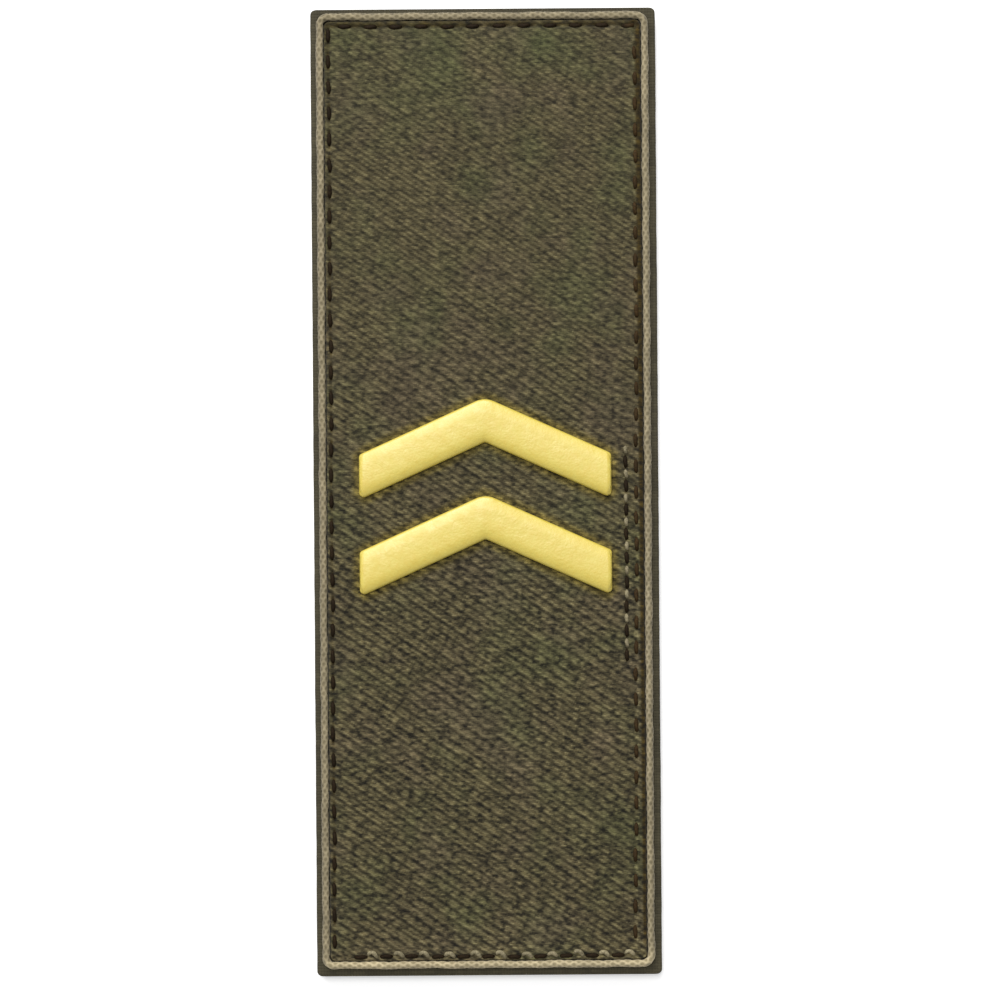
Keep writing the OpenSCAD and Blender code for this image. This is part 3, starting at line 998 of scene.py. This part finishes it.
def twill_material(cloth):
    """Matt olive twill with flecked yarns, in faint greener and browner patches, and painted brown shade in
    its seam.

    The wales have painted shade in their grooves and painted light on their crests, stronger towards the
    lower end, and painted shade darkens the low places of the weave. The cloth is greener beside the top
    end, and beside the lower one it is paler with painted light. A painted golden glow round the chevrons
    lightens their shadow. Along the right run the strip of painted brown shade is unbroken, and the valley
    beside it is paler.
    """
    material, w, shader, place = new_material("olive_twill")
    weave = woven(w, place, cloth.warp_pitch, cloth.weft_pitch, float(cloth.shafts), float(cloth.ribs))
    base = w.mix(weave["Warp"], cloth.olive_weft, cloth.olive)
    across, along = w.axes(place)[:2]
    by_top = w.range(along, *TOP_GREEN, 0.0, 0.35)
    green = w.math("ADD", mottled(w, place, 9 * MM, -0.3, 0.4), by_top, clamp=True)
    base = w.mix(green, base, cloth.green)
    moved = w.node("ShaderNodeVectorMath", {0: place, 1: (0.31, 0.17, 0.0)}, operation="ADD").outputs[0]
    base = w.mix(mottled(w, moved, 8 * MM, -0.3, 0.45), base, cloth.brown)
    # Painted light: a golden glow round the chevrons that lightens their shadow
    base = w.mix(w.times(w.mark("halo"), 0.9), base, cloth.painted_glow_gold)
    # Painted shade: a brown strip stands for the shade in the groove beside the cord and in the seam's
    # valley. It is patchy, unbroken at the right run, fainter between the stitches towards the left except
    # by the top end, and gone by the bottom. Painted brown pits darken the deepest parts of the valley, less
    # so at the right run.
    strip = w.mark("strip")
    pressed = w.mark("pressed")
    at_right = w.range(across, *RIGHT_RUN, 0.0, 1.0)
    patchy_shade = w.math("MAXIMUM", mottled(w, place, 1.6 * MM, 0.5, 0.95), w.times(at_right, 0.97))
    by_bottom = w.range(along, *BOTTOM_CLEAR, 1.0, 0.0)
    by_side = w.range(across, *LEFT_TO_RIGHT, 0.2, 1.0)
    between = w.math("MAXIMUM", by_side, w.range(along, *TOP_SHADE, 0.0, 0.9))
    by_stitch = w.range(pressed, 0.2, 0.7, between, 1.0)
    in_strip = w.times(strip, patchy_shade, by_bottom, by_stitch)
    pit = w.math("SUBTRACT", 0.7, w.times(at_right, 0.6))
    pit_shade = w.range(pressed, 0.5, 1.0, 0.0, w.times(by_bottom, pit))
    base = w.mix(w.math("MAXIMUM", in_strip, pit_shade), base, cloth.painted_seam_shade)
    tone = w.range(weave["Float tone"], 0.0, 1.0, 0.72, 1.28)
    # Painted shade: darker where the weave is low
    hollow = w.range(weave["Height"], 0.1, 0.62, 0.72, 1.06)
    # Painted shade in the grooves between the wales and painted light on their crests, stronger towards the
    # lower end
    wale_shade_depth = w.range(along, *MIDDLE, 0.16, 0.38)
    wale = w.math("ADD", w.times(weave["Wale"], wale_shade_depth), 1.0)
    stretched = w.node("ShaderNodeVectorMath", {0: place, 1: (1.0, 1.6, 1.0)}, operation="MULTIPLY")
    fleck_low = w.range(along, *MIDDLE, 0.4, 0.2)
    fleck = mottled(w, stretched.outputs[0], 0.9 * MM, fleck_low, w.math("SUBTRACT", 2.0, fleck_low))
    cloud = mottled(w, place, 6 * MM, 0.93, 1.07)
    # Painted light: the cloth grows paler towards the lower end, and paler still in a strip by the lower
    # cord
    by_bottom = w.range(along, *BOTTOM_PALE, 1.0, 1.15)
    at_bottom = w.range(along, *BOTTOM_EDGE, 1.0, 1.35)
    off_strip = w.times(at_right, w.math("SUBTRACT", 1.0, strip))
    pale = w.math("ADD", w.times(off_strip, 0.4), 1.0)
    in_seam = w.range(pressed, 0.03, 0.2, 1.0, pale)
    tinted(w, shader, base, w.times(tone, hollow, wale, fleck, cloud, by_bottom, at_bottom, in_seam))
    fibre = w.node("ShaderNodeTexNoise", {"Vector": place, "Scale": 1 / (0.05 * MM), "Detail": 2.0})
    height = w.math("ADD", weave["Height"], w.times(fibre.outputs[0], 0.12))
    bumped(w, shader, height, 0.05 * MM)
    set_uniform(
        shader,
        {"Roughness": 0.88, "Sheen Weight": 0.12, "Sheen Roughness": 0.5, "Specular IOR Level": 0.25},
    )
    return material


def khaki_material(cord):
    """Khaki braid with fine fibres: painted light on the strands and its inner flank, painted shade between
    them and on its outer flank.

    It is paler beside the lower end with painted light, and there its outer flank has less painted shade.
    """
    material, w, shader, place = new_material("khaki_cord")
    # Painted shade between the strands, where their relief is low
    base = w.mix(w.range(w.mark("strand"), -0.1, 0.9, 0.0, 1.0), cord.khaki_dark, cord.khaki)
    cloud = mottled(w, place, 3 * MM, 0.84, 1.14)
    fleck = mottled(w, place, 0.45 * MM, 0.85, 1.15)
    along = w.axes(place)[1]
    # Painted light: paler towards the lower end. Painted shade on the outer flank and painted light on the
    # inner one, with less shade on the outer flank at the lower end
    by_bottom = w.range(along, *BOTTOM_CORD, 1.0, 1.5)
    outer = w.range(along, *BOTTOM_CORD, 0.72, 0.94)
    by_flank = w.range(w.mark("flank"), -0.3, 0.9, 1.08, outer)
    tinted(w, shader, base, w.times(cloud, fleck, by_bottom, by_flank))
    fibre = w.node("ShaderNodeTexNoise", {"Vector": place, "Scale": 1 / (0.09 * MM), "Detail": 3.0})
    bumped(w, shader, fibre.outputs[0], 0.05 * MM)
    set_uniform(shader, {"Roughness": 0.8, "Sheen Weight": 0.15, "Specular IOR Level": 0.3})
    return material


def tape_material(tape):
    """Plain olive web with fine even yarns, with painted shade between them."""
    material, w, shader, place = new_material("olive_tape")
    weave = woven(w, place, tape.yarn_pitch, tape.yarn_pitch, 2.0)
    # Painted shade: darker where the weave is low, between the yarns
    base = w.mix(w.range(weave["Height"], 0.1, 0.6, 0.0, 1.0), tape.olive_dark, tape.olive)
    cloud = mottled(w, place, 4 * MM, 0.85, 1.15)
    tinted(w, shader, base, w.times(cloud, w.range(weave["Float tone"], 0, 1, 0.85, 1.15)))
    bumped(w, shader, weave["Height"], 0.08 * MM)
    set_uniform(shader, {"Roughness": 0.75, "Specular IOR Level": 0.3})
    return material


def hook_material(tape):
    """Slightly shiny olive nylon wire."""
    material, w, shader, place = new_material("olive_hooks")
    tinted(w, shader, tape.hook_olive, mottled(w, place, 2.5 * MM, 0.75, 1.25))
    bumped(w, shader, mottled(w, place, 0.12 * MM, 0.0, 1.0), 0.01 * MM)
    set_uniform(shader, {"Roughness": 0.42})
    return material


def plastic_material(chevron):
    """Soft yellow plastic with a faint mottling and a fine skin."""
    material, w, shader, place = new_material("yellow_plastic")
    patches = mottled(w, place, 2.2 * MM, 0.0, 0.6)
    specks = mottled(w, place, 0.5 * MM, -0.25, 0.5)
    share = w.math("ADD", patches, specks, clamp=True)
    w.feed(shader.inputs["Base Color"], w.mix(share, chevron.yellow, chevron.yellow_deep))
    w.feed(shader.inputs["Roughness"], mottled(w, place, 1.4 * MM, 0.42, 0.56))
    skin = w.math("ADD", mottled(w, place, 0.35 * MM, 0.0, 1.0), mottled(w, place, 1.1 * MM, 0.0, 1.5))
    bumped(w, shader, skin, 0.012 * MM)
    set_uniform(shader, {"IOR": 1.7, "Specular IOR Level": 0.9})
    return material


def thread_material(name, shade, pale=1.0):
    """Sewing thread of one shade with fine fibres, paler by a factor in the right run."""
    material, w, shader, place = new_material(name)
    cloud = mottled(w, place, 5 * MM, 0.8, 1.25)
    fleck = mottled(w, place, 0.25 * MM, 0.7, 1.4)
    at_right = w.range(w.axes(place)[0], *RIGHT_RUN, 1.0, pale)
    tinted(w, shader, shade, w.times(cloud, fleck, at_right))
    bumped(w, shader, mottled(w, place, 0.08 * MM, 0.0, 1.0), 0.02 * MM)
    set_uniform(shader, {"Roughness": 0.75, "Specular IOR Level": 0.15})
    return material


class INSIGNIA_OT_tape(bpy.types.Operator):
    """Makes the web of the hook tape and its hooks"""

    bl_idname = "insignia.tape"
    bl_label = "Hook Tape"

    def execute(self, context):
        tape = context.scene.insignia_tape
        seam = Seam(context.scene.insignia_seam)
        hooks = add_piece(
            "tape_hooks", *hook_surface(tape, seam), hook_material(tape), "olive_tape", ["hook_tape"]
        )
        web = add_piece("tape_web", *web_surface(tape), tape_material(tape), "olive_tape", ["hook_tape"])
        return {"FINISHED"}


class INSIGNIA_OT_face(bpy.types.Operator):
    """Makes the twill face of the patch"""

    bl_idname = "insignia.face"
    bl_label = "Face Cloth"

    def execute(self, context):
        cloth = context.scene.insignia_cloth
        seam = Seam(context.scene.insignia_seam)
        chevrons = [ChevronShape(node, context.scene.insignia_chevron) for node in CHEVRONS]
        *surface, marks = cloth_surface(cloth, seam, chevrons)
        face = add_piece("twill_face", *surface, twill_material(cloth), "olive_twill", ["face_cloth"])
        add_marks(face, marks)
        return {"FINISHED"}


class INSIGNIA_OT_cord(bpy.types.Operator):
    """Makes the khaki cord round the cloth"""

    bl_idname = "insignia.cord"
    bl_label = "Edge Cord"

    def execute(self, context):
        cord = context.scene.insignia_cord
        *surface, marks = cord_surface(cord)
        braid = add_piece("khaki_braid", *surface, khaki_material(cord), "khaki_cord", ["edge_cord"])
        add_marks(braid, marks)
        return {"FINISHED"}


class INSIGNIA_OT_thread(bpy.types.Operator):
    """Makes the thread that shows on the face and on the back"""

    bl_idname = "insignia.thread"
    bl_label = "Seam Thread"

    def execute(self, context):
        s = context.scene.insignia_seam
        seam = Seam(s)
        dark = thread_material("dark_thread", s.brown, s.pale)
        khaki = thread_material("khaki_thread", s.khaki)
        radius = s.thread / 2
        sunk = CLOTH_HIGH[2] - s.sunk * s.depth - radius
        crest = CLOTH_HIGH[2] - s.depth + s.crest * radius
        web_floor = TAPE_LOW[2] + context.scene.insignia_tape.hook_height
        face = seam.stitches(0, s.dash, SEED + 6)
        add_piece("thread_on_face", *thread_surface(face, radius, sunk, crest), dark, "dark_thread")
        back = seam.stitches(s.dash, 1, SEED + 7)
        deep = web_floor + radius
        low = web_floor - s.back_crest * radius
        add_piece("thread_on_back", *thread_surface(back, radius, deep, low), dark, "dark_thread")
        high = CLOTH_HIGH[2] - s.loop_depth * s.depth + s.loop_crest * radius
        ends = (s.dash - BOTTOM_GAP, 1 - BOTTOM_GAP)
        bottom = seam.stitches(*ends, SEED + 8, [BOTTOM_RUN], s.loop_bow, s.loop_slant)
        thin = s.loop_thin * radius
        add_piece("loops_at_bottom", *thread_surface(bottom, thin, sunk, high), khaki, "khaki_cord")
        overlap = seam.stitches(s.dash + OVERLAP_GAP, 1 - OVERLAP_GAP, SEED + 9, [OVERLAP_RUN])
        thin = s.overlap_thin * radius
        add_piece("loops_at_overlap", *thread_surface(overlap, thin, sunk, high), khaki, "khaki_cord")
        return {"FINISHED"}


class INSIGNIA_OT_chevrons(bpy.types.Operator):
    """Makes the two moulded chevrons"""

    bl_idname = "insignia.chevrons"
    bl_label = "Chevrons"

    def execute(self, context):
        material = plastic_material(context.scene.insignia_chevron)
        for node in CHEVRONS:
            shape = ChevronShape(node, context.scene.insignia_chevron)
            add_piece("moulded_" + node, *shape.surface(), material, "yellow_plastic", [node])
        return {"FINISHED"}


def add_light(name, place, target, power, width, height):
    """An oblong light that looks from its place at a target."""
    data = bpy.data.lights.new(name, "AREA")
    data.shape = "RECTANGLE"
    data.energy = power
    data.size = width
    data.size_y = height
    light = add_object(name, data)
    light.location = place
    light.rotation_euler = (target - light.location).to_track_quat("-Z", "Y").to_euler()


def add_camera(stage):
    """The camera straight over the patch, so that it has its place, scale and turn in the picture."""
    data = bpy.data.cameras.new("camera")
    data.lens = stage.lens
    data.sensor_width = SENSOR_WIDTH
    data.clip_start = 0.01
    camera = add_object("camera", data)
    aside = (IMAGE_WIDTH / 2 - stage.patch_pixel_x) / stage.pixels_per_metre
    below = (IMAGE_HEIGHT / 2 - stage.patch_pixel_y) / stage.pixels_per_metre
    sine, cosine = math.sin(stage.turn), math.cos(stage.turn)
    x = aside * cosine - below * sine
    y = -aside * sine - below * cosine
    distance = IMAGE_HEIGHT / stage.pixels_per_metre * stage.lens / SENSOR_WIDTH
    camera.location = (x, y, CLOTH_HIGH[2] + distance)
    camera.rotation_euler = (0, 0, -stage.turn)
    bpy.context.scene.camera = camera


class INSIGNIA_OT_stage(bpy.types.Operator):
    """Makes the pale floor, the soft lights and the camera"""

    bl_idname = "insignia.stage"
    bl_label = "Stage"

    def execute(self, context):
        stage = context.scene.insignia_stage
        half = stage.floor_size / 2
        mesh = bpy.data.meshes.new("floor")
        corners = [(-half, -half, 0), (half, -half, 0), (half, half, 0), (-half, half, 0)]
        mesh.from_pydata(corners, [], [(0, 1, 2, 3)])
        material, w, shader, place = new_material("pale_floor")
        tinted(w, shader, stage.floor_tone, mottled(w, place, 300 * MM, 0.99, 1.0))
        set_uniform(
            shader, {"Roughness": 0.9, "Emission Color": WHITE, "Emission Strength": stage.floor_glow}
        )
        mesh.materials.append(material)
        floor = add_object("floor", mesh)
        target = floor.location.copy()
        add_light("key", KEY_PLACE, target, stage.key_power, *KEY_SIZE)
        add_light("rake", RAKE_PLACE, target, stage.rake_power, *RAKE_SIZE)
        world = bpy.data.worlds.new("pale_sky")
        world.use_nodes = True
        background = world.node_tree.nodes["Background"]
        background.inputs["Color"].default_value = WHITE
        background.inputs["Strength"].default_value = stage.sky
        context.scene.world = world
        context.scene.view_settings.view_transform = "Standard"
        add_camera(stage)
        return {"FINISHED"}


OPERATORS = (
    INSIGNIA_OT_tape,
    INSIGNIA_OT_face,
    INSIGNIA_OT_cord,
    INSIGNIA_OT_thread,
    INSIGNIA_OT_chevrons,
    INSIGNIA_OT_stage,
)
SETTINGS = {
    "insignia_cloth": ClothSettings,
    "insignia_seam": SeamSettings,
    "insignia_cord": CordSettings,
    "insignia_chevron": ChevronSettings,
    "insignia_tape": TapeSettings,
    "insignia_stage": StageSettings,
}


class INSIGNIA_PT_panel(bpy.types.Panel):
    """Lists the steps and their sizes"""

    bl_idname = "INSIGNIA_PT_panel"
    bl_label = "Rank Insignia"
    bl_space_type = "VIEW_3D"
    bl_region_type = "UI"
    bl_category = "Insignia"

    def draw(self, context):
        for operator in OPERATORS:
            self.layout.operator(operator.bl_idname)
        for name, group in SETTINGS.items():
            box = self.layout.box()
            box.label(text=group.__doc__)
            for label in group.__annotations__:
                box.prop(getattr(context.scene, name), label)


def register():
    """Registers the settings, the operators and the panel."""
    for name, group in SETTINGS.items():
        bpy.utils.register_class(group)
        setattr(bpy.types.Scene, name, PointerProperty(type=group))
    for made in (*OPERATORS, INSIGNIA_PT_panel):
        bpy.utils.register_class(made)


def unregister():
    """Takes them out again."""
    for made in (INSIGNIA_PT_panel, *reversed(OPERATORS)):
        bpy.utils.unregister_class(made)
    for name, group in reversed(SETTINGS.items()):
        delattr(bpy.types.Scene, name)
        bpy.utils.unregister_class(group)


def main():
    """Makes the pieces and the stage in order."""
    register()
    for operator in OPERATORS:
        group, name = operator.bl_idname.split(".")
        getattr(getattr(bpy.ops, group), name)()


if __name__ == "__main__":
    main()
